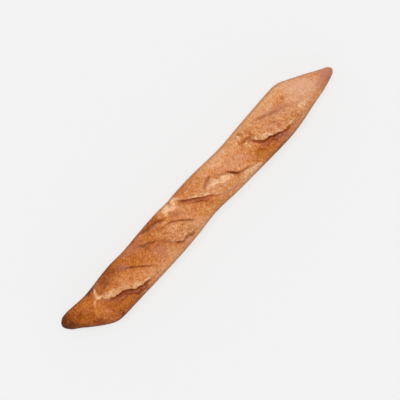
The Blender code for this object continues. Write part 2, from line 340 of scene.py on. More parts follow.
flat, bare = np.zeros_like(sole_z), np.zeros_like(level)
base_y = np.concatenate(
    [
        centre + sole_half * across, (centre + reach)[:, ::-1], top_y,
        centre - reach, (centre - sole_half * across)[:, :0:-1],
    ],
    axis=1,
)
base_z = round_the_ring(sole_z, level, top_z, level)
normal_y = round_the_ring(flat, lean_out, top_normal_y, -lean_out)
normal_z = round_the_ring(flat - 1.0, lean_down, top_normal_z, lean_down)
normal_size = np.hypot(normal_y, normal_z)
normal_y, normal_z = normal_y / normal_size, normal_z / normal_size
ring_size = base_y.shape[1]
base_x = np.repeat(ring_x[:, None], ring_size, axis=1)
base = np.stack([base_x, base_y, base_z], axis=-1)

# How high each point lies between the widest line, 0, and the crown, 1; and how far under, 1 on
# the sole.
crown_share = round_the_ring(flat, bare, up_share, bare)
tucked = bare + np.sin(flank) ** 2
sole_share = round_the_ring(flat + 1.0, tucked, 0.0 * up_share, tucked)
on_top = (crown_share > 0.0) * 1.0

# How the skin folds across a lip: (distance from the lip, where that point ends up, share of the
# burst's height, share of the recess's depth). Above 0 is the burst, below 0 the recess.
OPEN_LIP = np.array([
    (-14.0, -14.0, 0.00, 0.00), (-9.4, -9.4, 0.00, 0.00), (-7.6, -7.7, 0.00, 0.12),
    (-6.2, -6.4, 0.00, 0.34), (-5.0, -5.2, 0.00, 0.52), (-4.0, -4.1, 0.00, 0.70),
    (-3.0, -2.9, 0.00, 0.92), (-2.1, -1.7, 0.00, 1.00), (-1.4, -0.8, 0.05, 0.85),
    (-0.7, -0.4, 0.20, 0.42), (0.0, -0.9, 0.52, 0.10), (0.7, -1.2, 0.86, 0.00),
    (1.6, 0.2, 1.06, 0.00), (4.0, 3.7, 1.06, 0.00), (8.0, 8.0, 1.00, 0.00),
])
SHUT_LIP = np.array([
    (-14.0, -14.0, 0.00, 0.00), (-5.0, -5.0, 0.00, 0.00), (-3.0, -3.0, 0.00, 0.50),
    (-1.5, -1.5, 0.02, 0.95), (0.0, 0.0, 0.30, 0.60), (1.4, 1.3, 0.76, 0.10), (3.0, 3.0, 0.98, 0.00),
    (8.0, 8.0, 1.00, 0.00),
])
FULL_RECESS = 7.2
WIDE_OPEN = (1.2, 3.6)

out = np.zeros(base_y.shape)
move_x, move_y = np.zeros(base_y.shape), np.zeros(base_y.shape)
crumb, recess, painted_recess_shade, painted_crease_shade, lip_pale, strands, burst = (np.zeros(base_y.shape) for _ in range(7))
grain_height, fibre_height, blister_height = (np.zeros(base_y.shape) for _ in range(3))
lumps = layered(base, 9.0, 3, 60)
patchy = layered(base, 8.0, 3, 64)
knobs = layered(base, 5.0, 2, 67)
ragged = layered(base, 3.6, 3, 155)
for number, score in enumerate(SCORES):
    strength, depth, fold = (score[name][:, None] for name in ("strength", "depth", "fold"))
    strength = strength * on_top
    torn_here = np.clip(curve(score["torn"], ring_x), 0.0, 1.4)[:, None]
    painted_shade_here = np.clip(curve(score["recess_painted_shades"], ring_x), 0.0, 1.4)[:, None]
    opening = step(*WIDE_OPEN, depth)
    lip_y, crease_y = score["lip_y"][:, None], score["crease_y"][:, None]
    span = np.maximum(crease_y - lip_y, 2.5)
    share = np.clip((base_y - lip_y) / span, 0.0, 1.0)
    height = strength * score["rise"] * np.minimum(span / 20.0, 1.0) * (1.0 + 0.3 * lumps)
    height *= np.sin(math.pi * (0.24 + 0.76 * share)).clip(0.0) ** 0.8
    lean = np.hypot(1.0, score["lip_slope"])[:, None]
    off = (base_y - lip_y) / lean
    reach_here = score["recess_width"] * (1.0 + 0.20 * patchy)
    stretched = np.where(off < 0, off * FULL_RECESS / reach_here, off)
    open_place, open_lift, open_sink = (np.interp(stretched, OPEN_LIP[:, 0], part) for part in OPEN_LIP.T[1:])
    shut_place, shut_lift, shut_sink = (np.interp(off, SHUT_LIP[:, 0], part) for part in SHUT_LIP.T[1:])
    close = (stretched > -12.0) & (off < 8.0)
    shift = opening * (open_place - stretched) + (1.0 - opening) * (shut_place - off)
    shift = np.where(close, shift, 0.0) * strength
    lift = np.where(off > 7.9, 1.0, opening * open_lift + (1.0 - opening) * shut_lift)
    lift *= 1.0 + 0.22 * knobs * np.exp(-(((off - 2.0) / 3.0) ** 2))
    sink = np.where(close, opening * open_sink + (1.0 - opening) * shut_sink, 0.0)
    # A strand of half-torn dough runs along each recess, broken here and there.
    strand_at = score["strand_at"] + 0.8 * wander(ring_x, 14.0, 150 + number)[:, None]
    strand = np.exp(-(((stretched - strand_at) / 0.8) ** 2)) * step(-0.5, 0.3, patchy + 0.8 * ragged)
    strand = score["strand"] * opening * strand
    crease_off = (base_y - crease_y) / np.hypot(1.0, score["crease_slope"])[:, None]
    groove = strength * fold * np.exp(-((crease_off / score["crease_width"]) ** 2)) * (1.0 + 0.6 * lumps)
    flap = strength * np.minimum(fold, 1.0) * np.exp(-(((crease_off - 2.6) / 2.2) ** 2))
    out += height * lift - strength * sink * depth * (1.0 + 0.35 * patchy) * (1.0 - 0.5 * strand)
    out += 0.6 * flap - 1.1 * groove
    move_y += shift / lean
    move_x += -shift * score["lip_slope"][:, None] / lean
    inside = step(-0.8, 0.8, off) * step(0.8, -7.0 + 5.0 * np.minimum(fold, 1.0), crease_off) * strength
    inside *= 0.25 + 0.75 * np.exp(-((np.maximum(off, 0.0) / score["tear_reach"]) ** 2))
    burst = np.maximum(burst, strength * step(-0.5, 2.0, off) * step(0.5, -2.0, crease_off))
    crumb = np.maximum(crumb, torn_here * inside)
    grain_height = np.maximum(grain_height, score["grain"] * torn_here * inside)
    fibre_height = np.maximum(fibre_height, score["fibre"] * torn_here * inside)
    blister_height = np.maximum(blister_height, score["blister"] * torn_here * inside)
    shaded_recess = np.where(close, step(0.02, 0.45, sink + 0.12 * ragged), 0.0)
    shaded_recess *= strength * step(0.1, 1.5, depth)
    recess = np.maximum(recess, shaded_recess * (1.0 - 0.6 * strand))
    strands = np.maximum(strands, strand * shaded_recess)
    # Painted shade: each recess is darkened in its colour, most just under the lip and along the foot of the
    # recess, unevenly and less on the strand.
    shade_under_lip = 0.6 * np.exp(-(((stretched + 1.8) / 1.3) ** 2))
    shade_under_lip += 1.3 * np.exp(-(((stretched + 6.3) / 1.1) ** 2))
    painted_shade_strength = painted_shade_here * (0.66 + 0.30 * shade_under_lip) - 0.45 * strand + 0.25 * patchy + 0.35 * ragged
    painted_recess_shade = np.maximum(painted_recess_shade, shaded_recess * np.clip(painted_shade_strength, 0.0, 1.0))
    painted_crease_shade = np.maximum(painted_crease_shade, groove)
    pale_reach = score["pale_lip"] * (1.0 + 0.7 * patchy)
    edge = step(-0.6, 0.2, off) * np.exp(-((np.maximum(off, 0.0) / pale_reach) ** 2))
    lip_pale = np.maximum(lip_pale, score["cream"] * edge * strength * torn_here * step(1.5, 4.0, span))

# Where the oven and the blade left their marks, and a band of painted shade among the toasted patches:
# (x, y, half length, half width, turn in degrees, strength).
PALE_PATCHES = [
    (-43, 25.5, 12, 6.5, -12, 0.95), (-28, 26, 9, 6, -10, 0.95), (-37, 21.5, 8, 5, -20, 1.0),
    (-48, 24, 7, 5, 60, 0.8), (34, 2, 9, 6, -34, 0.9), (29, 2.5, 9, 5.5, -20, 0.9),
    (21, 4, 6, 4, -20, 0.8), (57, -9, 5, 4, -50, 0.8), (43, -3.5, 8, 4.5, -28, 1.0),
    (51, -9, 6, 4, -40, 0.8), (48, -4, 10, 6.5, -38, 1.0), (34, -5, 10, 4, -30, 0.6),
    (-56, 30, 8, 4, 0, 0.5), (42, -11, 9, 3.5, -20, 0.6), (-204, 17.5, 9, 3.2, 62, 0.65),
    (-214, 8.5, 7, 2.8, 36, 0.6), (-208.5, 17, 7, 2.6, 90, 0.4), (-205, 10, 6, 3.4, -20, 0.75),
    (-198, 4.5, 7, 4.5, -40, 0.4), (-188, 2, 12, 6, -15, 0.5), (-205, 18, 12, 6.0, 68, 0.25),
    (-223, -2, 9, 2, 80, 0.4), (-200, 8, 6, 5, 0, 0.35), (103, 21, 4, 3, 60, 0.9),
    (115, 22.5, 3, 2.5, 0, 1.0), (129, 21, 4, 2.5, -20, 0.7), (95.5, 17, 3.5, 2.2, 60, 0.9),
    (105, 8, 3, 2.5, 0, 0.8), (86, -23.5, 19, 4.4, -14, 1.0), (-1, 9.5, 8, 3, -45, 0.35),
    (12, 2.5, 9, 4, -48, 0.6), (24, -3, 6, 5, 0, 0.6), (30, -14, 8, 4, -20, 0.4),
    (146, 15, 3, 2.5, 0, 0.5), (203, -11.5, 15, 4.2, -8, 1.0), (217, -11, 8, 3, 4, 0.6),
    (174, -17, 9, 3, -10, 0.5), (-93, -24.5, 3, 2.5, 0, 0.6), (-59.5, 25.5, 4, 2.5, -20, 0.6),
    (-28, 26.5, 4, 3.5, 0, 0.8), (-118, -24, 16, 4, -12, 0.35), (34, 25, 40, 3, 0, 0.10),
    (-70, -12, 4, 2.6, -60, 0.9), (-34, -13, 6, 3, -50, 0.6), (-42, -18, 8, 3, 10, 0.5),
    (24, -12, 5, 3, -35, 0.7), (-152, -17, 12, 6, -30, 0.45), (-20, -23, 14, 3, 0, 0.35),
    (82, 27, 8, 3, 0, 0.3), (-185, 0, 16, 6, -15, 0.40), (134, -5, 9, 3, -30, 0.85),
    (122, 3, 3, 2.5, 0, 0.8), (130.5, 8.5, 3, 2.5, 0, 0.6), (-164, -5, 15, 7, -25, 0.30),
    (-136, -24, 9, 3, -10, 0.6), (151, -13, 5, 3, -20, 0.45), (-100, 14.5, 5, 2, -10, 0.4),
]
ROSY_PATCHES = [
    (-90, -9, 17, 11, -30, 0.5), (-32, 8, 12, 10, -45, 0.35), (26, 7, 7, 4, -10, 0.6),
    (44, -11, 7, 3, -10, 0.35), (75, 3, 24, 10, -20, 0.35), (170, -28, 22, 3.5, 3, 0.6),
    (-195, 25, 8, 3, 0, 0.4), (-42, 14, 6, 4.5, -60, 0.4), (264, -7, 18, 12, -15, 1.0),
    (248, -10, 18, 9, 8, 1.0), (150, -25, 12, 4, 0, 0.6), (-102, 28, 7, 3, 0, 0.5),
    (-118, 21, 20, 9, -20, 0.35), (-148, 15, 9, 5, -40, 0.5), (172, 8, 28, 11, -25, 0.45),
    (38, -23, 18, 2.2, -12, 0.5), (-54, -26, 9, 4, -8, 0.7), (148, -19, 4, 1.8, -10, 0.5),
    (150, 0, 20, 9, -30, 0.3), (222, 4, 36, 20, -20, 0.5), (-74, 22, 8, 4, -10, 0.5),
    (-212, -14, 14, 8, 20, 0.10), (-198, 2, 5, 5, 0, 0.3),
]
GOLD_PATCHES = [
    (176, -15, 9, 3.5, -10, 0.8), (27, -13, 5, 4, -30, 0.6), (112, 25, 9, 6, 0, 0.7),
    (150, 28, 34, 5, 0, 0.5), (52, -17, 12, 5, -20, 0.9), (-42, -14, 9, 8, -30, 0.3),
    (16, -22, 22, 5, 0, 0.3), (60, -19, 9, 3, -15, 0.6), (-92, 25, 12, 5, 0, 0.5),
    (90, 27, 12, 4, 0, 0.5), (200, 15, 14, 6, 0, 0.3), (16, 16, 16, 5, -10, 0.4),
    (-38, -26, 16, 4, 0, 0.45), (-8, -15, 12, 6, -20, 0.35), (-36, 29, 10, 3, 60, 0.4),
]
# Patches baked darker than the crust around them; the one at (-81, 1) is painted shade along the edge of the
# second burst.
TOASTED_AND_SHADED_PATCHES = [
    (-207, 27, 10, 3.0, 3, 0.5), (-240, -14, 28, 3.0, -50, 0.25), (118, -21, 18, 6, -5, 0.25),
    (-196, 12.5, 5, 4, 0, 0.55), (-190, -14, 14, 4, -22, 0.3), (-66, 28, 20, 4, -8, 0.4),
    (-172, 19, 14, 6, 0, 0.15), (-172, 6, 5, 5, -60, 0.7), (208, -28, 50, 3.5, 12, 0.2),
    (-80, 24, 12, 4, -5, 0.3), (50, -16, 10, 5, -20, 0.25), (90, -14, 10, 5, -20, 0.2),
    (-10, -15, 10, 6, 0, 0.25), (-76, -8, 4, 8, 25, 0.6), (-258, 10, 10, 5, -50, 0.1),
    (-200, 0, 3, 5, 0, 0.4), (-152, -4.5, 5, 2, 0, 0.7), (-56, 19.5, 4, 2.5, 0, 0.8),
    (0, 20, 16, 7, -25, 0.5), (112, 12, 8, 7, -40, 0.45), (98, 14, 3, 3, 0, 0.6),
    (109, 23, 3, 3, 0, 0.5), (-81, 1, 13, 4, -50, 0.7), (64, -14, 10, 5, -35, 0.2),
    (-41, 13, 5, 5, 0, 0.5), (110, -10, 8, 6, -30, 0.3), (188, 15, 11, 5.5, -10, 0.6),
    (-90, 22, 6, 4, -10, 0.3), (-120, 5, 20, 8, -50, 0.15), (46, -12, 6, 2.5, 0, 0.6),
    (-230, -16, 14, 6, -50, 0.3), (-252, 14, 14, 9, 0, 0.2), (182, 14, 18, 5, -10, 0.4),
    (-165, 12, 12, 6, -30, 0.25), (252, -11, 16, 7, 10, 0.5), (8, -12, 9, 5, -35, 0.5),
    (118, -15, 16, 6, -20, 0.6), (-98, 4, 16, 6, -30, 0.45), (-8, -6, 10, 5, -30, 0.3),
    (-180, 15, 13, 7, -5, 0.4), (-150, 14, 8, 6, 0, 0.25), (240, -15, 18, 6, 10, 0.3),
    (211, 6, 12, 8, 0, 0.25),
]
# These bake less than the crust around them.
FAINT_PATCHES = [
    (-57, -2, 16, 10, -40, 0.45), (-46, -15, 22, 7, -8, 0.7), (122, 2, 7, 3.5, -35, 0.8),
    (134, -5, 9, 3, -30, 0.4), (220, 4, 28, 13, -20, 0.45), (30, -8, 6, 3.5, -10, 0.6),
    (-158, 2, 18, 9, -35, 0.4), (-128, -12, 15, 9, -40, 0.4), (110, 4, 8, 5, 0, 0.4),
    (-10, 14, 8, 6, -20, 0.4), (10, 8, 12, 5, -30, 0.4), (82, -25, 22, 5, -8, 0.8),
    (12, 3, 10, 5, -40, 0.5), (118, -25, 20, 5, 0, 0.25), (172, 4, 10, 6, -30, 0.4),
    (18, -1, 6, 8, 0, 0.3), (235, -24, 12, 4, 15, 0.6), (204, -12, 16, 6, -8, 0.6),
    (-150, -24, 8, 5, -20, 0.3),
]
# Swellings of the dough, written like the patches, with their height for strength.
SWELLINGS = [
    (30, 3, 16, 8, -34, 2.4), (-57, -3, 15, 12, -40, 1.6), (-64, 18, 16, 4.5, -22, 1.6),
    (-38, 27, 14, 6, 12, 1.2), (103, 21, 4.5, 3.2, 60, 2.2), (115, 22.5, 3.4, 2.8, 0, 2.0),
    (96, 17, 4, 2.8, 60, 1.6), (122, 3, 3.4, 3, 0, 1.2), (130, 9, 3.4, 3, 0, 1.0),
    (129, 21, 5, 3, -20, 1.2), (21, 4, 6, 4, -20, 1.2), (57, -9, 5, 4, -50, 1.2),
    (-152, -16, 10, 5, -30, 1.2), (-208, 10, 8, 4, 20, 0.8), (-70, -12, 4.5, 3, -60, 1.4),
    (-172, -17.5, 3, 2, -20, 1.0), (105, 8, 4, 3, 0, 1.0),
]
# Slits beside the scores: (points, half width, depth, darkness: partly the torn crust's own colour and
# partly painted shade in the slit).
SLITS = [
    ([(-92, 29.5), (-84, 29), (-77, 27.5), (-70, 26), (-65, 24), (-60, 20.8)], 2.9, 1.8, 0.85),
    ([(-86, 26), (-79, 25), (-72, 24.5)], 3.4, 1.0, 0.7),
    ([(-58, 19.5), (-53, 20)], 2.0, 0.8, 0.4),
    ([(-109, 18), (-104, 14), (-97, 12)], 2.9, 1.3, 0.85),
    ([(-106, 8.5), (-97, 10), (-89, 7.5)], 2.5, 1.0, 0.7),
    ([(-43, 16), (-40, 11)], 4.4, 1.8, 0.45),
    ([(-48, 13), (-47, 8)], 1.8, 0.7, 0.3),
    ([(-67, -6), (-61, -7)], 1.8, 0.8, 0.4),
    ([(-55, -7), (-51, -10), (-47, -12)], 1.8, 0.9, 0.4),
    ([(-43, -16), (-37, -18)], 1.8, 0.9, 0.35),
    ([(16.5, 7), (20, 9.5), (27, 12.2), (33, 13.6)], 2.2, 1.3, 0.65),
    ([(-15, 4), (-16, -4)], 1.2, 0.35, 0.15),
    ([(28, -8), (33, -3)], 1.8, 0.7, 0.3),
    ([(63, -16), (61, -21)], 1.4, 0.8, 0.4),
    ([(60, -5), (65.5, -13)], 2.2, 1.0, 0.6),
    ([(107, 26), (110, 22)], 2.6, 1.2, 0.55),
    ([(117, 22), (118, 17), (121, 15.5)], 2.3, 1.1, 0.5),
    ([(104, 13), (112, 12), (114, 7.5)], 3.2, 1.6, 0.65),
    ([(119, 13), (119, 9), (120, 6), (117, 4)], 2.2, 1.1, 0.5),
    ([(99, 17), (98, 12)], 2.3, 1.0, 0.5),
    ([(133, 10), (135, 8)], 1.8, 0.9, 0.5),
    ([(155, 1), (157, -1)], 1.9, 0.9, 0.45),
    ([(126, 17), (128, 13)], 1.8, 0.8, 0.35),
    ([(-141, -27), (-136, -28)], 2.0, 0.9, 0.4),
    ([(-131, -27), (-128, -25)], 1.7, 0.8, 0.4),
    ([(-33.5, 31), (-38.5, 25.5)], 2.2, 0.8, 0.42),
    ([(39, 4), (43, 1.5)], 2.4, 1.0, 0.4),
    ([(34, -7), (37, -9)], 1.8, 0.8, 0.35),
    ([(49, 2), (52, -1)], 1.6, 0.6, 0.25),
    ([(188, 15), (189.5, 14.8)], 2.2, 0.7, 0.7),
    ([(-173, 8), (-171, 4)], 2.4, 0.7, 0.25),
    ([(-161, -16), (-158.5, -13)], 1.4, 1.0, 0.45),
    ([(-120, -28), (-117, -24)], 1.6, 1.0, 0.35),
]


def to_stroke(points, x, y):
    """Distance from each (x, y) to a line drawn through points."""
    nearest = np.full(x.shape, 1e9)
    for (ax, ay), (bx, by) in zip(points, points[1:]):
        run = ((x - ax) * (bx - ax) + (y - ay) * (by - ay)) / ((bx - ax) ** 2 + (by - ay) ** 2)
        run = np.clip(run, 0.0, 1.0)
        nearest = np.minimum(nearest, np.hypot(x - ax - run * (bx - ax), y - ay - run * (by - ay)))
    return nearest


def patches(marks, x, y):
    """How strongly the patches cover each (x, y)."""
    cover = np.zeros(x.shape)
    for at_x, at_y, half_length, half_breadth, turned, strength in marks:
        angle = math.radians(turned)
        u = ((x - at_x) * math.cos(angle) + (y - at_y) * math.sin(angle)) / half_length
        v = ((y - at_y) * math.cos(angle) - (x - at_x) * math.sin(angle)) / half_breadth
        cover = np.maximum(cover, strength * np.exp(-((u * u + v * v) ** 1.5)))
    return cover * step(0.0, 0.3, crown_share)


seen_x = base_x + move_x + 1.6 * layered(base, 6.0, 3, 110)
seen_y = base_y + move_y + out * normal_y + 1.6 * layered(base, 6.0, 3, 120)
# Each slit sinks into the skin and is darkened in its colour, partly by painted shade.
slit_painted_shade, slit_sink = np.zeros(base_y.shape), np.zeros(base_y.shape)
for line, half_breadth, depth, painted_shade_strength in SLITS:
    cut = np.exp(-((to_stroke(line, seen_x, seen_y) / half_breadth) ** 3))
    cut *= on_top * step(-0.7, -0.1, ragged)
    slit_painted_shade = np.maximum(slit_painted_shade, painted_shade_strength * cut)
    slit_sink = np.maximum(slit_sink, depth * cut)

# The grain of the skin: slow swells from the rolling, fine blisters on the crust, and in the torn
# crumb rounded grains, fibres drawn out across the tear, and burst bubbles with raised rims.
swells = 1.1 * layered(base, 60.0, 2, 70)
pores = layered(base, 3.4, 3, 80)
grains = 1.5 * layered(base, 4.2, 3, 90) + 0.6 - 2.0 * np.abs(layered(base, 7.0, 2, 93))
fibre_run = np.array([[0.95, 0.15, 0.0], [-0.42, 0.34, 0.0], [0.0, 0.0, 0.5]])
fibres = 1.6 * layered(base @ fibre_run, 3.0, 3, 95)
burst_bubble, _ = bubbles(base, 5.5, 98)
rims = np.sin(math.pi * np.sqrt(burst_bubble)) * 1.4 - 0.6
blisters, blister_tone = bubbles(base, 4.6, 104)
wrinkle_run = np.array([[0.7, 0.22, 0.0], [0.7, -0.22, 0.0], [0.0, 0.0, 1.0]])
wrinkles = layered(base @ wrinkle_run, 3.4, 3, 160)
relief = grain_height * grains + fibre_height * fibres + blister_height * rims
fade = step(0.0, 0.25, crown_share)
out += patches(SWELLINGS, base_x, base_y)
out = (out - slit_sink + swells + 1.05 * relief + 0.4 * crumb * pores + 0.9 * burst * wrinkles) * fade
skin_share = (1.0 - crumb) * (1.0 - sole_share)
out += skin_share * (0.24 * pores + 0.34 * blisters * step(0.3, 0.7, blister_tone)) * (0.4 + 0.6 * fade)
skin_y = base_y + move_y * fade + out * normal_y
skin = np.stack([base_x + move_x * fade, skin_y, base_z + out * normal_z], axis=-1)
skin = skin.reshape(-1, 3)
tips = np.array([[-HALF, middle[0], equator[0]], [HALF, middle[-1], equator[-1]]])
points = np.concatenate([skin, tips])
low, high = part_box("baguette")
millimetre = (high.x - low.x) / LOAF_LENGTH
points[:, 1] -= (curve(LEFT_EDGE, fine_x).max() + curve(RIGHT_EDGE, fine_x).min()) / 2
points = points * millimetre + [(low.x + high.x) / 2, (low.y + high.y) / 2, low.z]

ring = np.arange(ring_size)
ring_after = (ring + 1) % ring_size
quads = np.stack([ring, ring_after, ring_after + ring_size, ring + ring_size], axis=1)
starts = np.arange(STATIONS - 1)[:, None, None] * ring_size
last_ring = (STATIONS - 1) * ring_size
head_cap = np.stack([np.full(ring_size, len(skin)), ring_after, ring], axis=1)
tail_cap = np.stack([np.full(ring_size, len(skin) + 1), last_ring + ring, last_ring + ring_after], axis=1)
faces = (quads + starts).reshape(-1, 4).tolist() + head_cap.tolist() + tail_cap.tolist()
loaf_mesh = bpy.data.meshes.new("loaf")
loaf_mesh.from_pydata(points.tolist(), [], faces)
loaf_mesh.shade_smooth()
loaf = bpy.data.objects.new("loaf", loaf_mesh)
bpy.context.collection.objects.link(loaf)


def paint(name, values):
    """Stores a value for each point of the skin, for the crust's material to read."""
    whole = np.concatenate([values.ravel(), [values[0].mean(), values[-1].mean()]])
    loaf_mesh.attributes.new(name, "FLOAT", "POINT").data.foreach_set("value", whole.astype(np.float32))


# How far the crust is baked along each flank and along the crown, from pale, 0, to burnt, 1.
BAKED = {
    "left": [
        (-HALF, 1.00), (-268, 0.96), (-261, 0.90), (-254, 0.79), (-242, 0.69), (-225, 0.63),
        (-205, 0.70), (-185, 0.72), (-165, 0.72), (-150, 0.66), (-130, 0.60), (-110, 0.62),
        (-90, 0.60), (-65, 0.50), (-45, 0.36), (-20, 0.46), (10, 0.40), (30, 0.28), (60, 0.20),
        (90, 0.22), (115, 0.22), (150, 0.14), (185, 0.22), (210, 0.18), (240, 0.28), (HALF, 0.46),
    ],
    "crown": [
        (-HALF, 1.02), (-268, 0.91), (-261, 0.85), (-252, 0.74), (-236, 0.67), (-220, 0.61),
        (-195, 0.60), (-150, 0.55), (-100, 0.49), (-60, 0.42), (-25, 0.36), (5, 0.36), (30, 0.34),
        (60, 0.33), (90, 0.35), (115, 0.38), (150, 0.33), (180, 0.30), (205, 0.20), (232, 0.18),
        (252, 0.40), (266, 0.54), (HALF, 0.64),
    ],
    "right": [
        (-HALF, 1.02), (-264, 0.86), (-248, 0.76), (-228, 0.68), (-195, 0.64), (-165, 0.62),
        (-140, 0.38), (-105, 0.28), (-80, 0.30), (-60, 0.32), (-35, 0.18), (-10, 0.26), (15, 0.44),
        (40, 0.32), (80, 0.24), (105, 0.50), (130, 0.62), (150, 0.60), (175, 0.42), (200, 0.32),
        (225, 0.28), (245, 0.40), (262, 0.60), (HALF, 0.62),
    ],
}
out_to_side = (base_y - centre) / half
left_part, right_part = step(0.20, 0.85, out_to_side), step(-0.20, -0.85, out_to_side)
along_left, along_crown, along_right = (
    curve(BAKED[line], ring_x)[:, None] for line in ("left", "crown", "right")
)
toast = along_crown + left_part * (along_left - along_crown) + right_part * (along_right - along_crown)
toast += 0.05 * layered(base, 22.0, 3, 130)
toast += 0.30 * (patches(TOASTED_AND_SHADED_PATCHES, seen_x, seen_y) - patches(FAINT_PATCHES, seen_x, seen_y))
# Painted shade: the crust darkens on the flanks between the crown and the widest line, where the light falls
# off towards the outline, but not towards the sole. The sole bakes paler.
painted_flank_shade = step(0.62, 0.30, crown_share) * (0.35 + 0.65 * step(0.0, 0.30, crown_share))
toast += 0.14 * painted_flank_shade * (1.0 - step(0.0, 0.7, sole_share)) - 0.12 * sole_share
skin_tone = skin_share * (0.24 * blisters * (blister_tone - 0.5) - 0.04 * pores) + 0.26 * burst * wrinkles
toast += np.clip(skin_tone, -0.16, 0.10) * step(1.0, 0.5, toast)
toast = np.minimum(toast, 1.04)
paint("toast", toast)
paint("crumb", crumb)
# The height of the torn crumb's relief, painted as light on its tops and shade in its hollows.
torn_height = np.maximum(grain_height + fibre_height + blister_height, 0.2)
paint("grain", 0.5 + 0.5 * np.clip(relief / torn_height, -1.0, 1.0))
# The recess mask, and the painted shade that darkens the recesses and slits.
paint("recess", np.clip(np.maximum(recess, slit_painted_shade), 0.0, 1.0))
paint("painted_recess_shade", np.clip(np.maximum(painted_recess_shade, slit_painted_shade), 0.0, 1.0))
# Painted shade along the creases.
paint("crease", painted_crease_shade)
paint("pale", np.clip(patches(PALE_PATCHES, seen_x, seen_y) + lip_pale, 0.0, 1.0))
paint("rosy", np.clip(patches(ROSY_PATCHES, seen_x, seen_y) + 0.9 * strands, 0.0, 1.0))
paint("gold", patches(GOLD_PATCHES, seen_x, seen_y))
paint("sole", sole_share)
# Painted shade on the flanks, for the greying in the crust's material.
paint("painted_rim_shade", painted_flank_shade * (1.0 - step(0.0, 0.5, sole_share)))

# The map that the finish is baked to: the two halves of the loaf unrolled from a cut along the sole.
GIRTH_WEIGHTS = {"sole": 0.35, "flank": 0.75, "top": 1.0}
weight = round_the_ring(
    flat + GIRTH_WEIGHTS["sole"], bare + GIRTH_WEIGHTS["flank"], 0.0 * up_share + GIRTH_WEIGHTS["top"],
    bare + GIRTH_WEIGHTS["flank"],
)
closed_y, closed_z = (np.concatenate([part, part[:, :1]], axis=1) for part in (base_y, base_z))
girth = np.cumsum(np.hypot(np.diff(closed_y), np.diff(closed_z)) * weight, axis=1)
girth = np.concatenate([0.0 * girth[:, :1], girth], axis=1)
map_v = 0.5 + (girth - girth[:, -1:] / 2) / girth[:, -1].max()
map_u = np.repeat((ring_x / HALF)[:, None], ring_size + 1, axis=1)
MAP_MARGIN = 0.01
corner_rows = np.arange(STATIONS - 1)[:, None, None] + np.array([0, 0, 1, 1])
corner_columns = ring[None, :, None] + np.array([0, 1, 1, 0])
corner_rows, corner_columns = np.broadcast_arrays(corner_rows, corner_columns)
upper = (np.arange(STATIONS - 1) < STATIONS // 2)[:, None, None] * 1.0
corner_u = map_u[corner_rows, corner_columns] + upper
corner_v = (map_v[corner_rows, corner_columns] + upper) / 2
cap_u, cap_v = [], []
for row, tip_u, half_up in ((0, -1.0, 1.0), (STATIONS - 1, 1.0, 0.0)):
    first, second = map_v[row, :-1], map_v[row, 1:]
    order = [(first + second) / 2, second, first] if row == 0 else [(first + second) / 2, first, second]
    cap_v.append((np.stack(order, axis=1) + half_up) / 2)
    edge_u = 0.0 * first + map_u[row, 0]
    cap_u.append(np.stack([0.0 * first + tip_u, edge_u, edge_u], axis=1) + half_up)
map_points = np.stack([
    np.concatenate([corner_u.ravel()] + [part.ravel() for part in cap_u]),
    np.concatenate([corner_v.ravel()] + [part.ravel() for part in cap_v]),
], axis=1)
map_points = MAP_MARGIN + (1.0 - 2.0 * MAP_MARGIN) * map_points
loaf_mesh.uv_layers.new(name="OFBake").data.foreach_set("uv", map_points.astype(np.float32).ravel())


def shade(red, green, blue):
    """A colour as the eye sees it, out of 255, made linear for the renderer."""
    parts = [c / 255.0 for c in (red, green, blue)]
    return tuple(c / 12.92 if c <= 0.04045 else ((c + 0.055) / 1.055) ** 2.4 for c in parts) + (1.0,)


def plug(tree, value, socket):
    """Joins another node's output to a socket, or sets the socket to a plain value."""
    if isinstance(value, bpy.types.NodeSocket):
        tree.links.new(value, socket)
    else:
        socket.default_value = value


def read_value(tree, name):
    """A value painted on the skin."""
    node = tree.nodes.new("ShaderNodeAttribute")
    node.attribute_name = name
    return node.outputs["Fac"]


def speckle(tree, scale, detail, roughness, drawn_out=(1.0, 1.0, 1.0), turned=0.0):
    """Cloudy noise stretched to run from 0 to 1, in lumps per metre, drawn out that many times."""
    node = tree.nodes.new("ShaderNodeTexNoise")
    drawing = tree.nodes.new("ShaderNodeMapping")
    drawing.vector_type = "TEXTURE"
    drawing.inputs["Scale"].default_value = drawn_out
    drawing.inputs["Rotation"].default_value = (0.0, 0.0, math.radians(turned))
    tree.links.new(tree.nodes["place"].outputs["Object"], drawing.inputs["Vector"])
    tree.links.new(drawing.outputs["Vector"], node.inputs["Vector"])
    for name, value in (("Scale", scale), ("Detail", detail), ("Roughness", roughness)):
        node.inputs[name].default_value = value
    return limit(tree, node.outputs["Fac"], 0.32, 0.68)


def calculate(tree, operation, first, second, third=0.0):
    """One sum on values, named as the renderer names it."""
    node = tree.nodes.new("ShaderNodeMath")
    node.operation = operation
    for socket, value in zip(node.inputs, (first, second, third)):
        plug(tree, value, socket)
    return node.outputs["Value"]


def limit(tree, source, low_value, high_value):
    """0 at low_value and under, 1 at high_value and over."""
    node = tree.nodes.new("ShaderNodeMapRange")
    plug(tree, source, node.inputs["Value"])
    node.inputs["From Min"].default_value = low_value
    node.inputs["From Max"].default_value = high_value
    return node.outputs["Result"]


def ramp(tree, source, stops):
    """The colour that source picks from stops, each a place and a colour."""
    node = tree.nodes.new("ShaderNodeValToRGB")
    tree.links.new(source, node.inputs["Fac"])
    marks = node.color_ramp.elements
    marks[0].position, marks[0].color = stops[0]
    marks[1].position, marks[1].color = stops[-1]
    for position, colour in stops[1:-1]:
        marks.new(position).color = colour
    return node.outputs["Color"]


